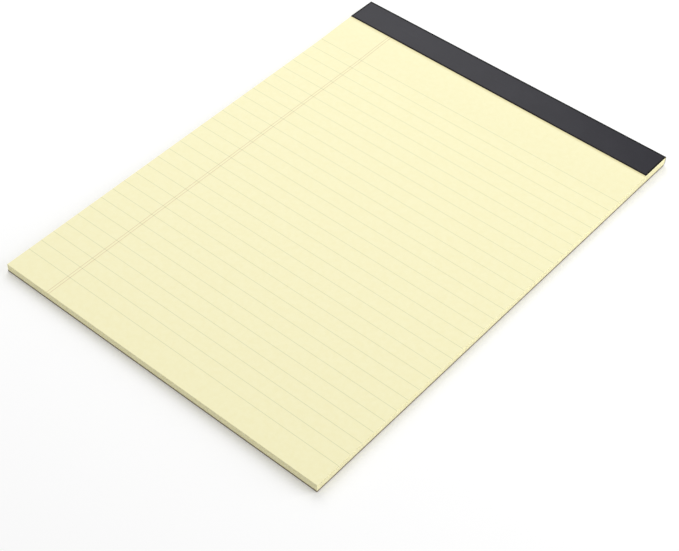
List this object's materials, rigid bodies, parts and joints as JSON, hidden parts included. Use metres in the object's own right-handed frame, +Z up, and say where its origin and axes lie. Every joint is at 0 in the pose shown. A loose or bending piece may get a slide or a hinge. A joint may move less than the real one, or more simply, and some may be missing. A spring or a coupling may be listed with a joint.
{
  "type": "legal pad",
  "caption": "Ruled yellow writing pad: perforated sheets on a stiff grey board, wire-stitched at the head and bound there with a folded dark tape.",
  "frame": {"origin": "middle of the pad's underside", "axes": "+X to the right of the page, +Y from the foot to the bound head, +Z up from the board to the top sheet"},
  "size_m": [0.216, 0.2984, 0.0061],
  "materials": {
    "paper": "uncoated yellow writing paper, ruled on its face",
    "board": "plain grey-brown chipboard",
    "tape": "charcoal binding tape, matt with a slight sheen",
    "wire": "bright drawn wire"
  },
  "bodies": {
    "root": {"sheet_block": "paper", "backing_board": "board", "binding_tape": "tape", "staples": "wire"}
  },
  "joints": []
}
